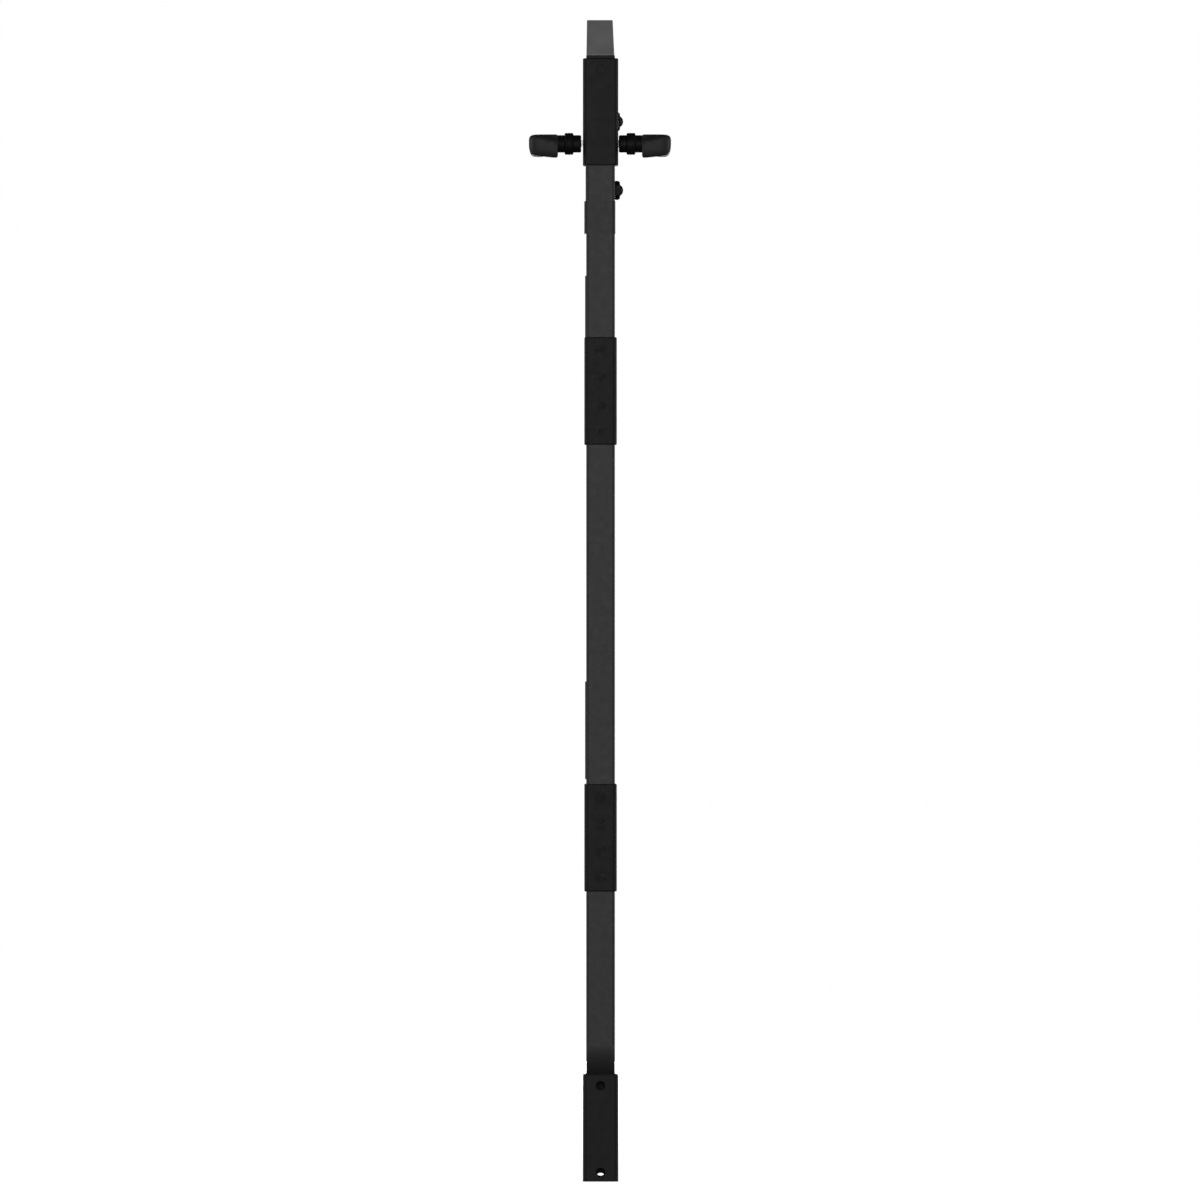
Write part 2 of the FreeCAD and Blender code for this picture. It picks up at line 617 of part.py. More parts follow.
def make_lever(side, sign):
    """One lever: neck on the spindle, grip towards the front and a return towards the bar."""
    def across(distance):
        return f"{sign} * ({distance})"

    inner = f"{LEVER_REACH} - grip_width"
    corners = [(across(LEVER_REACH), "grip_rear"), (across(LEVER_REACH), "-grip_front"),
               (across(RETURN_GAP), "-grip_front"),
               (across(RETURN_GAP), "return_width - grip_front"),
               (across(inner), "return_width - grip_front"), (across(inner), "grip_rear")]
    body = new_body(f"{side}_grip", "XY_Plane", lambda sketch: outline(sketch, corners), "grip_height",
                    ("lever_shift", "0", f"{AXIS_Z} + grip_rise - grip_height"))
    base = SIZES["tube_width"] / 2 + SIZES["end_sleeve_gap"] + SIZES["end_sleeve_wall"] + SIZES["lever_gap"]
    reach = base + SIZES["lever_length"]
    gap = base + SIZES["return_inset"]
    front = -SIZES["grip_front"]

    def at(edge, x, y):
        centre = edge.CenterOfMass
        return upright(edge) and abs(abs(centre.x) - x) < 1 and abs(centre.y - y) < 1

    rear = SIZES["grip_rear"]
    thin = reach - SIZES["grip_width"]
    round_edges(body, "front", "grip_round * 2", lambda edge: at(edge, reach, front))
    round_edges(body, "rear", "grip_round + 1",
                lambda edge: at(edge, reach, rear) or at(edge, thin, rear))
    round_edges(body, "crook", "grip_round", lambda edge: at(edge, thin, front + SIZES["return_width"]))
    round_edges(body, "rim", "grip_round",
                lambda edge: not upright(edge) and edge.BoundBox.ZLength < 0.01
                and abs(abs(edge.CenterOfMass.x) - gap) > 0.5)
    start = f"lever_shift + {across(LEVER_BASE)}"
    turn = ALONG_X if sign == "1" else BACK_X
    neck = rod(f"{side}_neck", "neck_radius", "lever_length - grip_width / 2",
               (start, "axis_depth", AXIS_Z), turn)
    square = block(f"{side}_square", *SPINDLE)
    screw_x = f"lever_shift + {across(f'({LEVER_BASE} + {RING_INNER}) / 2')}"
    screw = rod(f"{side}_grub", "small_shank_radius", "neck_radius - spindle_side / 2 - 0.2",
                (screw_x, "axis_depth", f"{AXIS_Z} - neck_radius + 0.2"))
    hole = rod(f"{side}_grub_hole", "small_shank_radius + running_gap", "neck_radius",
               (screw_x, "axis_depth", f"{AXIS_Z} - neck_radius - 0.1"))
    keep(cut(f"{side}_lever_cut", join(f"{side}_lever_whole", [body, neck]),
             group(f"{side}_lever_tools", [square, hole])), f"{side}_lever")
    ring_start = f"lever_shift + {RING_INNER}" if sign == "1" else f"lever_shift - {RING_INNER} - ring_length"
    ring = new_body(f"{side}_ring_body", "YZ_Plane", draw_ring, "ring_length",
                    (ring_start, "axis_depth", AXIS_Z))
    outer = SIZES["ring_radius"]
    round_edges(ring, "rim", "(ring_radius - neck_radius) * 0.8",
                lambda edge: edge.BoundBox.XLength < 0.01 and edge.BoundBox.YLength > 1.9 * outer)
    keep(ring, f"{side}_neck_ring")
    return screw


def draw_ring(sketch):
    circle(sketch, "ring_radius")
    circle(sketch, "neck_radius")


def head_screws(name, gap="0"):
    """Two screws up through the bolt body into its head; a gap makes them larger all round."""
    made = []
    for number, side in enumerate(("-1", "1"), start=1):
        at = (f"{side} * head_screw_offset", "0", BOLT_LOW)
        head = rod(f"{name}_head_{number}", f"head_screw_radius + {gap}", "head_screw_height", at)
        shank = rod(f"{name}_shank_{number}", f"small_shank_radius + {gap}",
                    "bolt_body_height + head_screw_bite", at)
        made.append(join(f"{name}_{number}", [head, shank]))
    return group(name, made)


def make_head_bolt():
    """Sliding bolt: body in the housing, bevelled head on top, slotted tail down to the lever."""
    half_x = f"({HALF_WIDTH} + end_sleeve_gap - bolt_side_gap)"
    half_y = f"({HALF_DEPTH} + end_sleeve_gap - bolt_face_gap)"
    body = block("bolt_block", (f"-{half_x}", f"-{half_y}", BOLT_LOW), (half_x, half_y, BOLT_TOP))
    pocket = rod("spring_pocket_hole", "spring_radius + spring_wire + 0.8", "spring_pocket + 1",
                 ("0", "spring_depth", f"{BOLT_LOW} - 1"))
    socket_high = f"{BOLT_LOW} + tail_socket"
    socket = block("tail_socket_hole",
                   ("-running_gap", "tail_rear - tail_width - running_gap", f"{BOLT_LOW} - 1"),
                   ("tail_thick + running_gap", "tail_rear + running_gap", socket_high))
    pin_at = (f"-{half_x}", "tail_rear - tail_width / 2", f"{BOLT_LOW} + tail_socket / 2")
    pin_hole = rod("tail_pin_hole", "tail_pin_radius + running_gap", "tube_width + 2", pin_at, ALONG_X)
    keep(rod("tail_pin_bar", "tail_pin_radius", f"2 * {half_x}", pin_at, ALONG_X), "tail_pin")
    screw_holes = head_screws("head_screw_holes", "hole_clearance")
    keep(cut("bolt_cut", body, group("bolt_tools", [pocket, socket, pin_hole, screw_holes])),
         "bolt_body")
    keep(head_screws("head_screw_pair"), "bolt_head_screws")
    keep(cut("head_cut", make_bevel(), screw_holes), "bolt_head")
    plate = block("tail_plate", ("0", "tail_rear - tail_width", f"{PIN_Z} - pin_radius - tail_below"),
                  ("tail_thick", "tail_rear", socket_high))
    play = "(pin_radius + pin_slot_play)"
    slot = block("pin_slot", ("-1", "axis_depth - arm_radius - pin_radius - 0.4", f"{PIN_Z} - {play}"),
                 ("tail_thick + 1", f"{PIN_Y} + pin_radius + 0.5", f"{PIN_Z} + {play}"))
    keep(cut("tail_cut", plate, group("tail_tools", [slot, pin_hole])), "bolt_tail")


def make_bevel():
    """Head of the bolt: front face leaning back, sides drawn in towards a flat top."""
    head = doc.addObject("Part::Wedge", "bevel")
    tie(head, "Xmin", "-head_base_left")
    tie(head, "Xmax", "head_base_right")
    tie(head, "X2min", "-head_top_left")
    tie(head, "X2max", "head_top_right")
    tie(head, "Zmin", "-head_base_half_depth")
    tie(head, "Zmax", "head_base_half_depth")
    tie(head, "Z2min", "-head_top_rear")
    tie(head, "Z2max", "head_top_front")
    tie(head, "Ymin", "0")
    tie(head, "Ymax", "head_height")
    place(head, ("0", "0", BOLT_TOP), BACK_Y)
    doc.recompute()
    soft = doc.addObject("Part::Fillet", "bevel_soft")
    soft.Base = head
    rounding = SIZES["head_edge_round"]
    soft.Edges = [(number, rounding, rounding) for number in range(1, len(head.Shape.Edges) + 1)]
    return soft


def make_spring():
    """Seat plate on the chassis and the return spring between it and the bolt."""
    inner_x = f"({HALF_WIDTH} - tube_wall - chassis_fit)"
    inner_y = f"({HALF_DEPTH} - tube_wall - chassis_fit)"
    plate = new_body("seat_plate", "XY_Plane",
                     lambda sketch: outline(sketch, rectangle(f"2 * {inner_x}", f"2 * {inner_y}")),
                     "seat_thick", ("0", "0", CHASSIS_HIGH))
    round_edges(plate, "corner", "tube_corner - 1", upright)
    post = rod("seat_post", "spring_radius - spring_wire - 0.5", "seat_post_height",
               ("0", "spring_depth", MAST_TOP))
    hole = block("seat_slot", ("-0.5", "tail_rear - tail_width - 0.5", f"{CHASSIS_HIGH} - 1"),
                 ("tail_thick + 0.5", "tail_rear + 0.5", f"{MAST_TOP} + 1"))
    keep(cut("seat_cut", join("seat_whole", [plate, post]), hole), "spring_seat")
    low = f"{MAST_TOP} + spring_wire + spring_end_gap"
    helix = doc.addObject("Part::Helix", "spring_path")
    tie(helix, "Radius", "spring_radius")
    tie(helix, "Pitch", "spring_pitch")
    tie(helix, "Height", "bolt_lift + spring_pocket - 2 * spring_wire - 2 * spring_end_gap")
    place(helix, ("0", "spring_depth", low))
    wire = doc.addObject("Part::Circle", "spring_section")
    tie(wire, "Radius", "spring_wire")
    place(wire, ("spring_radius", "spring_depth", low), FreeCAD.Rotation(FreeCAD.Vector(1, 0, 0), 90))
    sweep = doc.addObject("Part::Sweep", "spring_sweep")
    sweep.Sections = [wire]
    sweep.Spine = (helix, [])
    sweep.Solid = True
    sweep.Frenet = True
    keep(sweep, "bolt_spring")


def make_band():
    """Thin band round the tube with a lug on the left, its two screws, and the plate above it."""
    low = f"({BAND_HIGH} - band_height)"
    left = f"-({HALF_WIDTH} + band_lug)"
    right = f"{HALF_WIDTH} + band_thick"
    front = f"-({HALF_DEPTH} + band_thick)"
    rear = f"{HALF_DEPTH} + band_thick"

    def draw(sketch):
        outline(sketch, [(left, front), (right, front), (right, rear), (left, rear)])
        outline(sketch, rectangle("tube_width", "tube_depth"))

    body = new_body("band_body", "XY_Plane", draw, "band_height", ("0", "0", low))
    half = SIZES["tube_depth"] / 2
    round_edges(body, "outer", "tube_corner + band_thick",
                lambda edge: upright(edge) and abs(edge.CenterOfMass.y) > half + 0.1)
    round_edges(body, "inner", "tube_corner",
                lambda edge: upright(edge) and abs(abs(edge.CenterOfMass.y) - half) < 0.1
                and abs(abs(edge.CenterOfMass.x) - SIZES["tube_width"] / 2) < 0.1)
    places = [((left, side, f"{low} + band_height / 2"), ALONG_X)
              for side in ("-band_screw_side", "band_screw_side")]
    holes = screw_set("band_screws", places, "band", "band_lug + tube_wall + 2")
    keep(cut("band_cut", body, holes), "clamp_band")
    plate = block("plate_block", (f"-{HALF_WIDTH} - plate_thick", "-plate_depth / 2", BAND_HIGH),
                  (f"-{HALF_WIDTH}", "plate_depth / 2", HOUSING_LOW))
    keep(plate, "backing_plate")
    return holes


def make_pad(side, joint_z):
    """Thin buffer strip stuck to the tube's left face just above a joint sleeve."""
    low = f"{joint_z} + sleeve_length / 2 + {side}_pad_gap"
    pad = block(f"{side}_pad_block", (f"-{HALF_WIDTH} - pad_thick", "-pad_depth / 2", low),
                (f"-{HALF_WIDTH}", "pad_depth / 2", f"{low} + {side}_pad_length"))
    keep(pad, f"{side}_pad")


def make_rivet_nuts():
    """Two flanged rivet nuts in the rear face, for fixing the bar to a door or post."""
    made = []
    holes = []
    for number, height in enumerate((f"{LOWER_JOINT} - rivet_offset", f"{UPPER_JOINT} + rivet_offset"),
                                    start=1):
        outside = ("0", f"{HALF_DEPTH} + rivet_flange", height)
        flange = rod(f"rivet_flange_{number}", "rivet_flange_radius", "rivet_flange", outside, BACK_Y)
        barrel = rod(f"rivet_barrel_{number}", "rivet_radius", "rivet_length", outside, BACK_Y)
        bore = rod(f"rivet_bore_{number}", "rivet_bore", "rivet_length", outside, BACK_Y)
        made.append(cut(f"rivet_{number}", join(f"rivet_whole_{number}", [flange, barrel]), bore))
        holes.append(rod(f"rivet_hole_{number}", "rivet_radius + running_gap", "rivet_length", outside,
                         BACK_Y))
    keep(group("rivet_pair", made), "rear_rivet_nuts")
    return holes


lower_joint_holes = make_joint("lower", LOWER_JOINT)
upper_joint_holes = make_joint("upper", UPPER_JOINT)
rivet_holes = make_rivet_nuts()
band_holes = make_band()
make_pad("lower", LOWER_JOINT)
make_pad("upper", UPPER_JOINT)
foot_holes = make_foot(make_socket())
housing_holes = make_housing()
chassis_holes = make_chassis(housing_holes)
mast_tube("lower_tube", "lower_length", "foot_height", [lower_joint_holes, foot_holes, rivet_holes[0]])
mast_tube("middle_tube", "middle_length", f"{LOWER_JOINT} + joint_gap / 2",
          [lower_joint_holes, upper_joint_holes])
mast_tube("upper_tube", "upper_length", f"{UPPER_JOINT} + joint_gap / 2",
          [upper_joint_holes, housing_holes, band_holes, rivet_holes[1], *chassis_holes])
make_lever_works()
keep(group("grub_pair", [make_lever("left", "-1"), make_lever("right", "1")]), "lever_grub_screws")
make_head_bolt()
make_spring()

doc.recompute()
for item in doc.Objects:
    if "Invalid" in item.State or "Error" in item.State:
        raise RuntimeError(f"{item.Name} failed: {item.State}")
for item in nodes:
    if item.Shape.isNull() or not item.Shape.isValid() or not item.Shape.Solids:
        raise RuntimeError(f"{item.Label} has no valid solid")

os.makedirs("parts", exist_ok=True)
for item in nodes:
    item.Shape.exportStep(f"parts/{item.Label}.step")
    box = item.Shape.BoundBox
    print(f"{item.Label:22} solids {len(item.Shape.Solids)} volume {item.Shape.Volume / 1000:8.2f} cm3 "
          f"x {box.XMin:7.2f} {box.XMax:7.2f} y {box.YMin:7.2f} {box.YMax:7.2f} "
          f"z {box.ZMin:8.2f} {box.ZMax:8.2f}")
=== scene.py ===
import bmesh
import bpy
import json
import math
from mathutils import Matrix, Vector


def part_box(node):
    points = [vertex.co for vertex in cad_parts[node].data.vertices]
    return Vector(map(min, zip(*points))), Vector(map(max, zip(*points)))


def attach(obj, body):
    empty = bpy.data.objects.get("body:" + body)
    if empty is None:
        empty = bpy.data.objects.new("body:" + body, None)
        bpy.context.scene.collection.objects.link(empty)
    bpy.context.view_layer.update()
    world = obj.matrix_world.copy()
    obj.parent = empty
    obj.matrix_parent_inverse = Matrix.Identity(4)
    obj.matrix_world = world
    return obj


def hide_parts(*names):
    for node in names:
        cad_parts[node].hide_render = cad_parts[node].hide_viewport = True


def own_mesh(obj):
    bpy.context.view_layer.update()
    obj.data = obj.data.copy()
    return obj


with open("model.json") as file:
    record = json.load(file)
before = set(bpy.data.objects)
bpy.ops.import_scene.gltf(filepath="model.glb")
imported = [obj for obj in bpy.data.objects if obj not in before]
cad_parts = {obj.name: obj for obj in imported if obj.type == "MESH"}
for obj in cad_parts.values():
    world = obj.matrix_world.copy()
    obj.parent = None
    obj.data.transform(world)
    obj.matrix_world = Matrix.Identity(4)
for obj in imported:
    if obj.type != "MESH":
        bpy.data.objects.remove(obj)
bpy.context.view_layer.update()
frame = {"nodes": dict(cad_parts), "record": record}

NODES = frame["nodes"]
SCENE = bpy.context.scene


# ---------------------------------------------------------------- materials

class Recipe:
    """A node material that is built up from a Principled shader."""

    def __init__(self, name, roughness, metallic=0.0, specular=0.5):
        self.material = bpy.data.materials.new(name)
        self.material.use_nodes = True
        self.tree = self.material.node_tree
        self.shader = self.tree.nodes["Principled BSDF"]
        self.shader.inputs["Roughness"].default_value = roughness
        self.shader.inputs["Metallic"].default_value = metallic
        self.shader.inputs["Specular IOR Level"].default_value = specular
        self.coords = self.add("ShaderNodeTexCoord").outputs["Object"]
        self.bump = None

    def add(self, kind, **settings):
        node = self.tree.nodes.new(kind)
        for key, value in settings.items():
            setattr(node, key, value)
        return node

    def link(self, source, target):
        self.tree.links.new(source, target)

    def stretched(self, scale):
        """Object coordinates scaled by a different number along each axis."""
        mapping = self.add("ShaderNodeMapping")
        mapping.inputs["Scale"].default_value = scale
        self.link(self.coords, mapping.inputs["Vector"])
        return mapping.outputs["Vector"]

    def noise(self, scale, detail=3.0, roughness=0.55, stretch=None):
        node = self.add("ShaderNodeTexNoise")
        node.inputs["Scale"].default_value = scale
        node.inputs["Detail"].default_value = detail
        node.inputs["Roughness"].default_value = roughness
        self.link(self.stretched(stretch) if stretch else self.coords, node.inputs["Vector"])
        return node.outputs["Fac"]

    def grains(self, scale):
        node = self.add("ShaderNodeTexVoronoi")
        node.inputs["Scale"].default_value = scale
        self.link(self.coords, node.inputs["Vector"])
        return node.outputs["Distance"]

    def curve(self, source, low, high, start, end):
        """Maps low..high to start..end."""
        node = self.add("ShaderNodeMapRange")
        node.inputs["From Min"].default_value = low
        node.inputs["From Max"].default_value = high
        node.inputs["To Min"].default_value = start
        node.inputs["To Max"].default_value = end
        self.link(source, node.inputs["Value"])
        return node.outputs["Result"]

    def times(self, first, second):
        node = self.add("ShaderNodeMath", operation="MULTIPLY")
        self.link(first, node.inputs[0])
        if isinstance(second, float):
            node.inputs[1].default_value = second
        else:
            self.link(second, node.inputs[1])
        return node.outputs[0]

    def between(self, factor, first, second):
        """Mix of two colours, each a tuple or a socket."""
        node = self.add("ShaderNodeMix", data_type="RGBA")
        self.link(factor, node.inputs["Factor"])
        for slot, colour in (("A", first), ("B", second)):
            socket = [s for s in node.inputs if s.name == slot and s.type == "RGBA"][0]
            if isinstance(colour, tuple):
                socket.default_value = (*colour, 1.0)
            else:
                self.link(colour, socket)
        return [s for s in node.outputs if s.type == "RGBA"][0]

    def edges(self, radius):
        """Near 1 along the edges of a piece, 0 on its faces."""
        bevel = self.add("ShaderNodeBevel", samples=6)
        bevel.inputs["Radius"].default_value = radius
        geometry = self.add("ShaderNodeNewGeometry")
        dot = self.add("ShaderNodeVectorMath", operation="DOT_PRODUCT")
        self.link(bevel.outputs["Normal"], dot.inputs[0])
        self.link(geometry.outputs["True Normal"], dot.inputs[1])
        return self.curve(dot.outputs["Value"], 0.99, 0.8, 0.0, 1.0)

    def raise_by(self, source, distance, strength=1.0):
        """Adds a bump layer."""
        node = self.add("ShaderNodeBump")
        node.inputs["Strength"].default_value = strength
        node.inputs["Distance"].default_value = distance
        self.link(source, node.inputs["Height"])
        if self.bump is not None:
            self.link(self.bump, node.inputs["Normal"])
        self.bump = node.outputs["Normal"]

    def done(self, colour, roughness=None):
        self.link(colour, self.shader.inputs["Base Color"])
        if roughness is not None:
            self.link(roughness, self.shader.inputs["Roughness"])
        if self.bump is not None:
            self.link(self.bump, self.shader.inputs["Normal"])
        return self.material


def grey(value, tint=0.0):
    """A neutral colour, a little bluer with a positive tint."""
    return (value * (1 - tint), value, value * (1 + tint))


def powder_coat(name, base, peel, grain, roughness, wear, specular=0.5):
    """Baked powder coat: orange peel, fine grain, faint cloudiness and thin spots along edges."""
    made = Recipe(name, roughness, specular=specular)
    cloud = made.curve(made.noise(30.0, 4.0), 0.3, 0.7, 0.0, 1.0)
    body = made.between(cloud, grey(base * 0.95, 0.01), grey(base * 1.05, 0.01))
    speck = made.curve(made.noise(1900.0, 2.0), 0.6, 0.78, 0.0, 0.5)
    body = made.between(speck, body, grey(base * 1.5, 0.01))
    worn = made.times(made.edges(0.0012), made.curve(made.noise(160.0, 5.0), 0.45, 0.7, 0.0, wear))
    body = made.between(worn, body, grey(base * 2.2 + 0.02))
    made.raise_by(made.noise(420.0, 2.0), peel)
    made.raise_by(made.noise(1600.0, 3.0, 0.6), grain)
    rough = made.curve(made.noise(120.0, 4.0), 0.3, 0.7, roughness - 0.03, roughness + 0.03)
    return made.done(body, rough)


def turned_steel(name, base, roughness, stretch, depth, metallic=1.0, stain=0.25, specular=0.5):
    """Bare or plated steel with fine tool marks along one direction and a little staining."""
    made = Recipe(name, roughness, metallic, specular)
    marks = made.noise(240.0, 4.0, 0.65, stretch)
    cloud = made.curve(made.noise(45.0, 4.0), 0.35, 0.7, 0.0, 1.0)
    body = made.between(cloud, grey(base * 0.9), grey(base * 1.08))
    dirt = made.curve(made.noise(220.0, 5.0, 0.6), 0.56, 0.72, 0.0, stain)
    body = made.between(dirt, body, grey(base * 0.55))
    body = made.between(made.times(made.edges(0.0008), 0.5), body, grey(min(base * 1.5, 0.9)))
    made.raise_by(marks, depth)
    rough = made.curve(marks, 0.3, 0.7, roughness - 0.08, roughness + 0.08)
    return made.done(body, rough)


def moulded(name, base, roughness, grain, warm=0.0):
    """Moulded nylon: a spark-eroded grain and a faint mottling."""
    made = Recipe(name, roughness, specular=0.3)
    cloud = made.curve(made.noise(90.0, 3.0), 0.3, 0.7, 0.0, 1.0)
    body = made.between(cloud, grey(base * 0.9, -warm), grey(base * 1.12, -warm))
    made.raise_by(made.grains(2600.0), grain)
    made.raise_by(made.noise(900.0, 3.0), grain)
    rough = made.curve(made.noise(140.0, 3.0), 0.3, 0.7, roughness - 0.05, roughness + 0.07)
    return made.done(body, rough)


MATERIALS = {
    "tube_coat": powder_coat("anthracite_powder", 0.040, 0.00006, 0.00003, 0.5, 0.30),
    "sleeve_coat": powder_coat("black_powder", 0.0120, 0.00005, 0.00004, 0.58, 0.22, 0.36),
    "head_steel": turned_steel("blasted_steel", 0.40, 0.5, (0.25, 1.0, 1.0), 0.00003, 0.2, 0.12),
    "lever_coat": powder_coat("lever_lacquer", 0.042, 0.00003, 0.00001, 0.55, 0.25, 0.35),
    "ring_nylon": moulded("black_nylon", 0.010, 0.55, 0.00003),
    "black_screws": turned_steel("black_oxide", 0.0085, 0.55, (1.0, 1.0, 1.0), 0.00002, 0.05, 0.2, 0.3),
    "zinc_steel": turned_steel("zinc_plate", 0.55, 0.36, (1.0, 1.0, 0.2), 0.00002),
    "chassis_steel": turned_steel("machined_steel", 0.42, 0.42, (1.0, 1.0, 0.1), 0.00004),
    "bright_steel": turned_steel("drawn_steel", 0.5, 0.3, (0.06, 1.0, 1.0), 0.00003),
    "bush_nylon": moulded("natural_nylon", 0.6, 0.45, 0.00002, 0.05),
    "spring_steel": turned_steel("spring_wire", 0.35, 0.35, (1.0, 1.0, 1.0), 0.00002),
    "band_steel": powder_coat("strip_coat", 0.030, 0.00003, 0.00003, 0.5, 0.3),
    "pad_rubber": moulded("matt_rubber", 0.024, 0.8, 0.00006),
}


def foot_casting_painted_shade():
    """Painted casting that turns darker and rougher below z 0.114, just inside the socket; the dark tone
    there is painted shade of the socket.
    """
    made = Recipe("foot_casting_painted_shade", 0.55)
    split = made.add("ShaderNodeSeparateXYZ")
    made.link(made.coords, split.inputs[0])
    # mask for the painted shade: 0 above z 0.114, 1 below z 0.107
    low = made.curve(split.outputs["Z"], 0.114, 0.107, 0.0, 1.0)
    cloud = made.curve(made.noise(60.0, 5.0), 0.3, 0.7, 0.0, 1.0)
    coat = made.between(cloud, grey(0.038, 0.01), grey(0.043, 0.01))
    # painted shade: near-black tone used inside the socket
    painted_shade = made.between(cloud, grey(0.005), grey(0.009))
    made.raise_by(made.noise(500.0, 3.0), 0.00006)
    made.raise_by(made.grains(900.0), 0.00003)
    return made.done(made.between(low, coat, painted_shade), made.curve(low, 0.0, 1.0, 0.52, 0.8))


NECK_COAT = powder_coat("neck_lacquer", 0.010, 0.00002, 0.00002, 0.55, 0.15, 0.25)
FOOT_CASTING_PAINTED_SHADE = foot_casting_painted_shade()

for part in frame["record"]["subparts"]:
    skin = NODES[part["node"]].data.materials
    skin.clear()
    # the foot gets the material with painted shade inside the socket
    skin.append(FOOT_CASTING_PAINTED_SHADE if part["node"] == "foot_spigot" else MATERIALS[part["material_slot"]])


# ---------------------------------------------------------------- mesh pieces

TAU = 2 * math.pi
AXIS_Y, AXIS_Z = 0.008, 1.0862      # lever axis
LEVER_MIDDLE = -0.0006              # middle between the two levers
LEVER_BASE = 0.0197                 # base of a lever from that middle
NECK_END = 0.05365                  # where the neck starts to bend
NOSE_END = 0.04385                  # tip of the hooked nose
TURN = 0.012                        # radius of both bends
STRAIGHT = 0.080                    # length of the grip between its bends
NECK_RADIUS = 0.0091
GRIP_HALF, GRIP_TOP, GRIP_BOTTOM, NOSE_BOTTOM = 0.0085, 0.0074, 0.0140, 0.0170
GRIP_FRONT = AXIS_Y - 2 * TURN - STRAIGHT
LEVER_LENGTH = (NECK_END - LEVER_BASE) + TURN * math.pi + STRAIGHT + (NECK_END - NOSE_END)


def ease(low, high, value):
    """0 below low, 1 above high, smooth between them."""
    share = max(0.0, min(1.0, (value - low) / (high - low)))
    return share * share * (3 - 2 * share)


def mix(first, second, share):
    return first + (second - first) * share


def finish_piece(bm, name, body, slot, nodes, sharp=35.0):
    """Turns a bmesh into a shown piece that stands for CAD nodes."""
    bmesh.ops.recalc_face_normals(bm, faces=bm.faces)
    for face in bm.faces:
        face.smooth = True
    for edge in bm.edges:
        if len(edge.link_faces) == 2 and edge.calc_face_angle(0.0) > math.radians(sharp):
            edge.smooth = False
    mesh = bpy.data.meshes.new(name)
    bm.to_mesh(mesh)
    bm.free()
    mesh.materials.append(MATERIALS[slot])
    piece = bpy.data.objects.new(name, mesh)
    SCENE.collection.objects.link(piece)
    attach(piece, body)
    if nodes:
        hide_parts(*nodes)
    return piece


def skin_rings(bm, rings, closed=False):
    """Quads between rings of points; the end rings are capped unless the run is closed."""
    rows = [[bm.verts.new(point) for point in ring] for ring in rings]
    count = len(rows[0])
    pairs = list(zip(rows, rows[1:]))
    if closed:
        pairs.append((rows[-1], rows[0]))
    for first, second in pairs:
        for index in range(count):
            after = (index + 1) % count
            bm.faces.new((first[index], first[after], second[after], second[index]))
    if not closed:
        bm.faces.new(rows[0])
        bm.faces.new(rows[-1])
    return rows


def lathe(bm, profile, place, axis, steps=72):
    """Turns a profile of (along, radius) about an axis through place."""
    side = axis.orthogonal().normalized()
    up = axis.cross(side)
    rings = []
    for along, radius in profile:
        ring = []
        for index in range(steps):
            angle = TAU * index / steps
            ring.append(place + axis * along + (side * math.cos(angle) + up * math.sin(angle)) * radius)
        rings.append(ring)
    skin_rings(bm, rings)


def lever_path(step):
    """Plan centre line of a lever at a distance along it: (outwards, towards the door, heading)."""
    neck = NECK_END - LEVER_BASE
    quarter = TURN * math.pi / 2
    if step < neck:
        return LEVER_BASE + step, AXIS_Y, 0.0
    step -= neck
    if step < quarter:
        angle = step / TURN
        return NECK_END + TURN * math.sin(angle), AXIS_Y - TURN * (1 - math.cos(angle)), angle
    step -= quarter
    if step < STRAIGHT:
        return NECK_END + TURN, AXIS_Y - TURN - step, math.pi / 2
    step -= STRAIGHT
    if step < quarter:
        angle = math.pi / 2 + step / TURN
        return NECK_END + TURN * math.sin(angle), GRIP_FRONT + TURN * (1 + math.cos(angle)), angle
    step -= quarter
    return NECK_END - step, GRIP_FRONT, math.pi


def lever_section(step):
    """Half width, height above and below the lever's axis, and squareness along a lever."""
    grip = ease(0.024, 0.046, step)
    drop = ease(LEVER_LENGTH - 0.034, LEVER_LENGTH, step)
    half = mix(NECK_RADIUS, GRIP_HALF, grip)
    top = mix(NECK_RADIUS, GRIP_TOP, grip)
    bottom = mix(NECK_RADIUS, mix(GRIP_BOTTOM, NOSE_BOTTOM, drop), grip)
    return half, top, bottom, mix(2.0, 3.2, grip)


def nose_hollow(x, y, height):
    """How far the nose's face is set back by the shallow hollow in its upper inner corner."""
    reach = (0.0607 - x) * 0.27 + (height - 0.0033) * 0.96
    return 0.0075 * ease(-0.0010, 0.0055, reach) * ease(0.0965, 0.1040, -y)


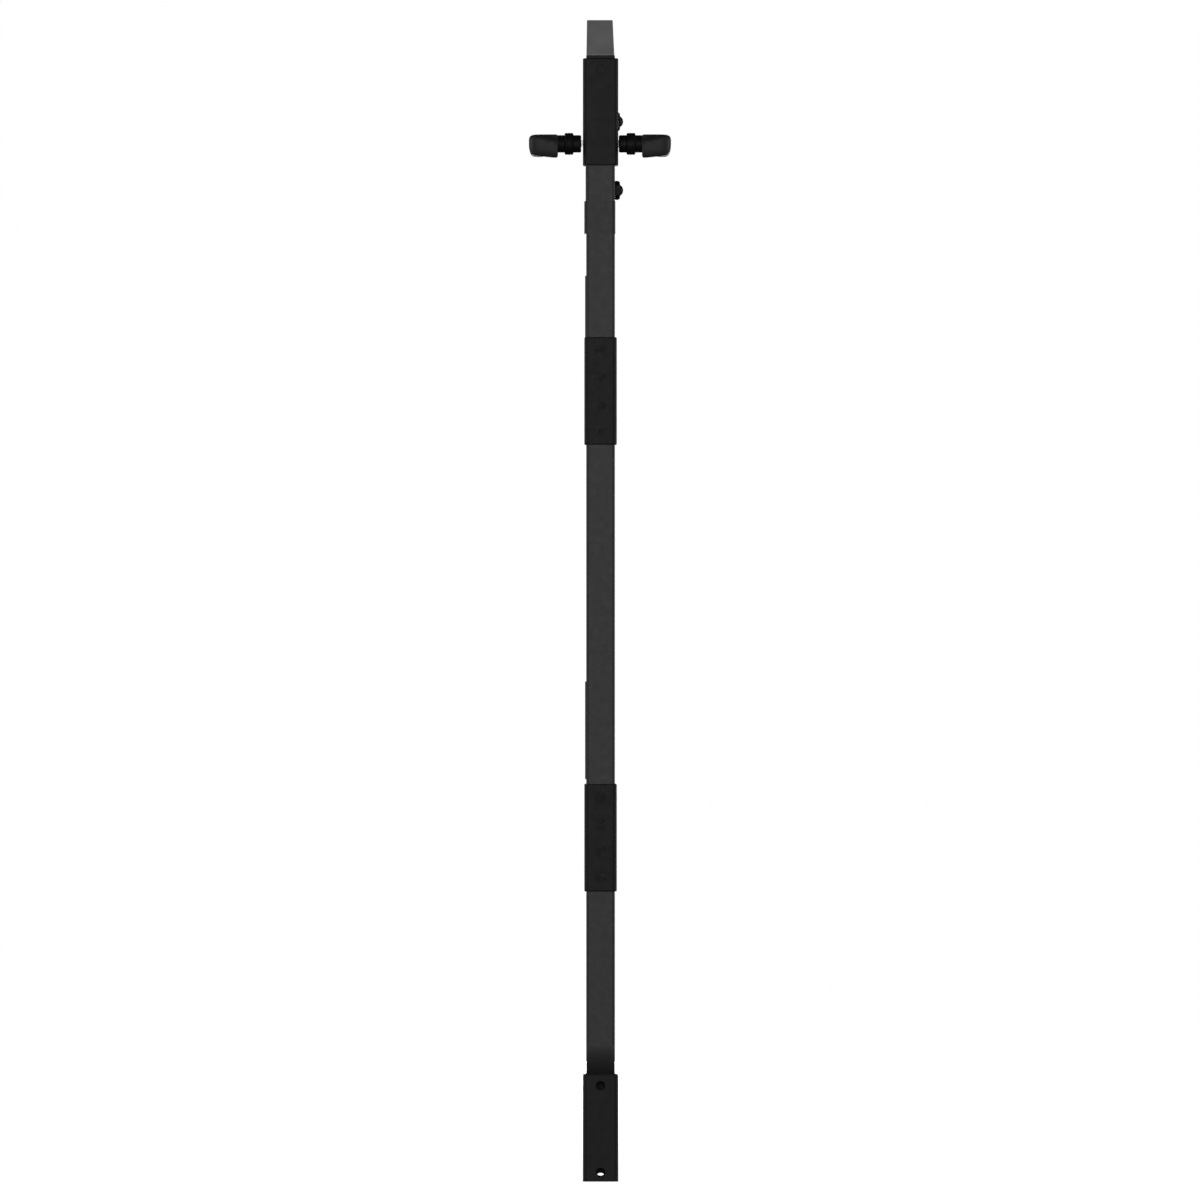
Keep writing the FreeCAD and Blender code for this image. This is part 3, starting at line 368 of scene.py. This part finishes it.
def make_lever(side, sign):
    """Cast lever: round neck, swept bend, soft oblong grip, and a hooked nose with a hollow."""
    bm = bmesh.new()
    count, around = 150, 72
    rings = []
    for row in range(count + 1):
        step = LEVER_LENGTH * row / count
        out, depth, heading = lever_path(step)
        half, top, bottom, power = lever_section(step)
        tail = LEVER_LENGTH - step
        round_off = 0.0018
        inset = round_off - math.sqrt(max(0.0, round_off ** 2 - max(0.0, round_off - tail) ** 2))
        start = 0.0008 - min(0.0008, step)
        bend = heading % (math.pi / 2)
        fill = 3.0 if heading < math.pi / 2 else 4.5
        swell = (TURN + half) * ((math.cos(bend) ** fill + math.sin(bend) ** fill) ** (-1 / fill) - 1)
        ring = []
        for index in range(around):
            angle = TAU * index / around
            across = math.copysign(abs(math.cos(angle)) ** (2 / power), math.cos(angle))
            high = math.copysign(abs(math.sin(angle)) ** (2 / power), math.sin(angle))
            width = across * (half - inset - start + (swell if across > 0 else 0.0))
            height = high * ((top if high > 0 else bottom) - inset - start)
            x = out + width * math.sin(heading)
            y = depth + width * math.cos(heading)
            y += nose_hollow(x, y, height)
            ring.append((LEVER_MIDDLE + sign * x, y, AXIS_Z + height))
        rings.append(ring)
    skin_rings(bm, rings)
    neck = [face for face in bm.faces if face.calc_center_median().y > -0.004
            and abs(face.calc_center_median().x - LEVER_MIDDLE) < 0.0455]
    for face in neck:
        face.material_index = 1
    piece = finish_piece(bm, f"{side}_lever_casting", "lever_set", "lever_coat", [f"{side}_lever"])
    piece.data.materials.append(NECK_COAT)


def make_ring(side, sign):
    """Moulded bearing ring on a lever's neck, with rounded shoulders and two fine grooves."""
    bm = bmesh.new()
    low, high = 0.02775, 0.03715
    bore, outer, shoulder = 0.00915, 0.0115, 0.0019
    profile = [(low, bore)]
    for index in range(9):
        angle = math.pi / 2 * index / 8
        profile.append((low + shoulder * (1 - math.cos(angle)), outer - shoulder * (1 - math.sin(angle))))
    middle = (low + high) / 2
    for centre in (middle - 0.0014, middle + 0.0014):
        for offset, depth in ((-0.0005, 0.0), (-0.0002, 0.0003), (0.0002, 0.0003), (0.0005, 0.0)):
            profile.append((centre + offset, outer - depth))
    for index in range(9):
        angle = math.pi / 2 * index / 8
        profile.append((high - shoulder * (1 - math.sin(angle)), outer - shoulder * (1 - math.cos(angle))))
    profile.append((high, bore))
    lathe(bm, profile, Vector((LEVER_MIDDLE, AXIS_Y, AXIS_Z)), Vector((sign, 0, 0)), 96)
    finish_piece(bm, f"{side}_bearing_ring", "lever_set", "ring_nylon", [f"{side}_neck_ring"])


def make_nuts():
    """Domed hexagon nuts: chamfered corners, a washer face and a smooth low dome."""
    bm = bmesh.new()
    face, corner, thick, dome, rise = 0.015, 0.010, 0.0053, 0.0058, 0.0034
    washer_rise, washer_inset = 0.0007, 0.0006
    chamfer_low, chamfer_slope, top_low, top_inset = 0.0036, 0.9, 0.0040, 0.0012
    steps = 144
    for height in (1.1092, 1.0373):
        rings = []
        for along in (0.0, 0.0003, 0.0006, 0.0014, 0.0030, 0.0040, 0.0046, thick):
            limit = corner - top_inset * ease(top_low, thick, along)
            limit -= washer_inset * (1 - ease(0.0, washer_rise, along))
            if along > chamfer_low:
                limit = min(limit, corner - (along - chamfer_low) * chamfer_slope)
            ring = []
            for index in range(steps):
                angle = TAU * index / steps
                flat = (angle + math.pi / 6) % (math.pi / 3) - math.pi / 6
                radius = min(corner * math.cos(math.pi / 6) / math.cos(abs(abs(flat) - math.pi / 6)), limit)
                ring.append((face + along, radius * math.sin(angle), height + radius * math.cos(angle)))
            rings.append(ring)
        ball = (dome ** 2 + rise ** 2) / (2 * rise)
        low = math.asin((ball - rise) / ball)
        shoulder = [(thick, dome + 0.0014), (thick + 0.0001, dome + 0.0006), (thick + 0.0004, dome)]
        for index in range(1, 13):
            angle = low + (math.pi / 2 - 0.02 - low) * index / 12
            shoulder.append((thick + rise - ball + ball * math.sin(angle), ball * math.cos(angle)))
        for along, radius in shoulder:
            rings.append([(face + along, radius * math.sin(TAU * index / steps),
                           height + radius * math.cos(TAU * index / steps)) for index in range(steps)])
        skin_rings(bm, rings)
    finish_piece(bm, "domed_nuts", "mast", "black_screws", ["dome_nuts"], 22.0)


def make_spring():
    """Compression spring with closed, ground ends."""
    bm = bmesh.new()
    low, high, radius, wire = 1.120, 1.165, 0.005, 0.0007
    turns, steps, around = 10.0, 480, 16
    end_share, lift_share = 0.1, 0.82       # of the wire's run: one closed end, the open turns
    end_rise = 2 * wire * 0.9               # a closed turn climbs a little less than the wire's width
    centre_y = 0.012
    rings = []
    for row in range(steps + 1):
        share = row / steps
        angle = TAU * turns * share
        lift = max(0.0, min(1.0, (share - (1 - lift_share) / 2) / lift_share))
        closed = end_rise * min(share / end_share, 1.0)
        closing = end_rise * max((share - 1 + end_share) / end_share, 0.0)
        span = high - low - 2 * wire - 2 * end_rise
        height = low + wire + closed + closing + span * lift
        centre = Vector((radius * math.cos(angle), centre_y + radius * math.sin(angle), height))
        out = Vector((math.cos(angle), math.sin(angle), 0.0))
        ring = []
        for index in range(around):
            turn = TAU * index / around
            ring.append(centre + (out * math.cos(turn) + Vector((0, 0, 1)) * math.sin(turn)) * wire)
        rings.append(ring)
    skin_rings(bm, rings)
    piece = finish_piece(bm, "return_spring", "mast", "spring_steel", ["bolt_spring"])
    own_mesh(piece)


def make_slab(name, node, slot, soften):
    """A flat strip with softened edges and rounded corners in place of a plain block."""
    low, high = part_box(node)
    low, high = Vector(low), Vector(high)
    bm = bmesh.new()
    bmesh.ops.create_cube(bm, size=1.0)
    bmesh.ops.scale(bm, vec=high - low, verts=bm.verts)
    bmesh.ops.translate(bm, vec=(low + high) / 2, verts=bm.verts)
    along_x = [edge for edge in bm.edges
               if abs(edge.verts[0].co.x - edge.verts[1].co.x) > (high.x - low.x) / 2]
    bmesh.ops.bevel(bm, geom=along_x, offset=soften * 5, segments=8, profile=0.5, affect="EDGES")
    outer = [edge for edge in bm.edges
             if all(abs(vert.co.x - low.x) < 1e-6 for vert in edge.verts)]
    bmesh.ops.bevel(bm, geom=outer, offset=soften, segments=4, profile=0.5, affect="EDGES")
    finish_piece(bm, name, "mast", slot, [node], 50.0)


make_lever("left", -1)
make_lever("right", 1)
make_ring("left", -1)
make_ring("right", 1)
make_nuts()
make_spring()
make_slab("lower_buffer", "lower_pad", "pad_rubber", 0.0005)
make_slab("upper_buffer", "upper_pad", "pad_rubber", 0.0005)
make_slab("backing_strip", "backing_plate", "band_steel", 0.0002)


# ---------------------------------------------------------------- stage

def make_floor():
    """A pale round floor that fades to the white of the backdrop, with a soft contact shadow."""
    mesh = bpy.data.meshes.new("floor")
    bm = bmesh.new()
    bmesh.ops.create_circle(bm, cap_ends=True, segments=96, radius=6.0)
    bm.to_mesh(mesh)
    bm.free()
    floor = bpy.data.objects.new("floor", mesh)
    SCENE.collection.objects.link(floor)
    material = bpy.data.materials.new("pale_floor")
    material.use_nodes = True
    tree = material.node_tree
    shader = tree.nodes["Principled BSDF"]
    shader.inputs["Base Color"].default_value = (0.8, 0.8, 0.8, 1.0)
    shader.inputs["Roughness"].default_value = 0.9
    shader.inputs["Specular IOR Level"].default_value = 0.0
    shader.inputs["Emission Color"].default_value = (1.0, 1.0, 1.0, 1.0)
    coords = tree.nodes.new("ShaderNodeTexCoord")
    distance = tree.nodes.new("ShaderNodeVectorMath")
    distance.operation = "LENGTH"
    tree.links.new(coords.outputs["Object"], distance.inputs[0])
    fade = tree.nodes.new("ShaderNodeMapRange")
    fade.inputs["From Min"].default_value = 0.3
    fade.inputs["From Max"].default_value = 1.6
    fade.inputs["To Min"].default_value = 0.86
    fade.inputs["To Max"].default_value = 1.0
    tree.links.new(distance.outputs["Value"], fade.inputs["Value"])
    tree.links.new(fade.outputs["Result"], shader.inputs["Emission Strength"])
    mesh.materials.append(material)
    floor.visible_diffuse = False
    floor.visible_glossy = False
    return floor


def make_world():
    """White behind the object; a dimmer, soft studio all round for its light."""
    world = bpy.data.worlds.new("studio")
    SCENE.world = world
    world.use_nodes = True
    tree = world.node_tree
    tree.nodes.clear()
    out = tree.nodes.new("ShaderNodeOutputWorld")
    blend = tree.nodes.new("ShaderNodeMixShader")
    path = tree.nodes.new("ShaderNodeLightPath")
    seen = tree.nodes.new("ShaderNodeBackground")
    seen.inputs["Strength"].default_value = 1.0
    seen.inputs["Color"].default_value = (1.0, 1.0, 1.0, 1.0)
    light = tree.nodes.new("ShaderNodeBackground")
    light.inputs["Color"].default_value = (1.0, 1.0, 1.0, 1.0)
    light.inputs["Strength"].default_value = 0.05
    tree.links.new(path.outputs["Is Camera Ray"], blend.inputs["Fac"])
    tree.links.new(light.outputs["Background"], blend.inputs[1])
    tree.links.new(seen.outputs["Background"], blend.inputs[2])
    tree.links.new(blend.outputs["Shader"], out.inputs["Surface"])


def make_light(name, place, target, size, power):
    lamp = bpy.data.lights.new(name, "AREA")
    lamp.shape = "RECTANGLE"
    lamp.size, lamp.size_y = size
    lamp.energy = power
    lamp.cycles.cast_shadow = True
    made = bpy.data.objects.new(name, lamp)
    made.location = place
    made.rotation_euler = (Vector(target) - Vector(place)).to_track_quat("-Z", "Y").to_euler()
    SCENE.collection.objects.link(made)
    return made


def make_camera():
    """A long lens, level with the middle of the bar and square to its front."""
    camera = bpy.data.objects.new("camera", bpy.data.cameras.new("camera"))
    camera.data.sensor_width = 36.0
    camera.data.lens = 572.9
    camera.data.clip_start = 1.0
    camera.data.clip_end = 60.0
    camera.location = (-0.0006, -20.0, 0.6083)
    camera.rotation_euler = (math.radians(90), 0.0, 0.0)
    SCENE.collection.objects.link(camera)
    SCENE.camera = camera


make_floor()
make_world()
make_light("key", (-0.15, -5.0, 0.9), (0.0, 0.0, 0.7), (2.6, 2.6), 66.0)
make_light("left", (-4.5, 0.6, 1.2), (0.0, 0.0, 0.7), (2.0, 2.0), 40.0)
make_light("right", (4.5, 0.6, 1.2), (0.0, 0.0, 0.7), (2.0, 2.0), 40.0)
make_light("rear", (0.6, 5.0, 1.2), (0.0, 0.0, 0.7), (2.6, 2.6), 100.0)
make_camera()
SCENE.view_settings.view_transform = "Standard"
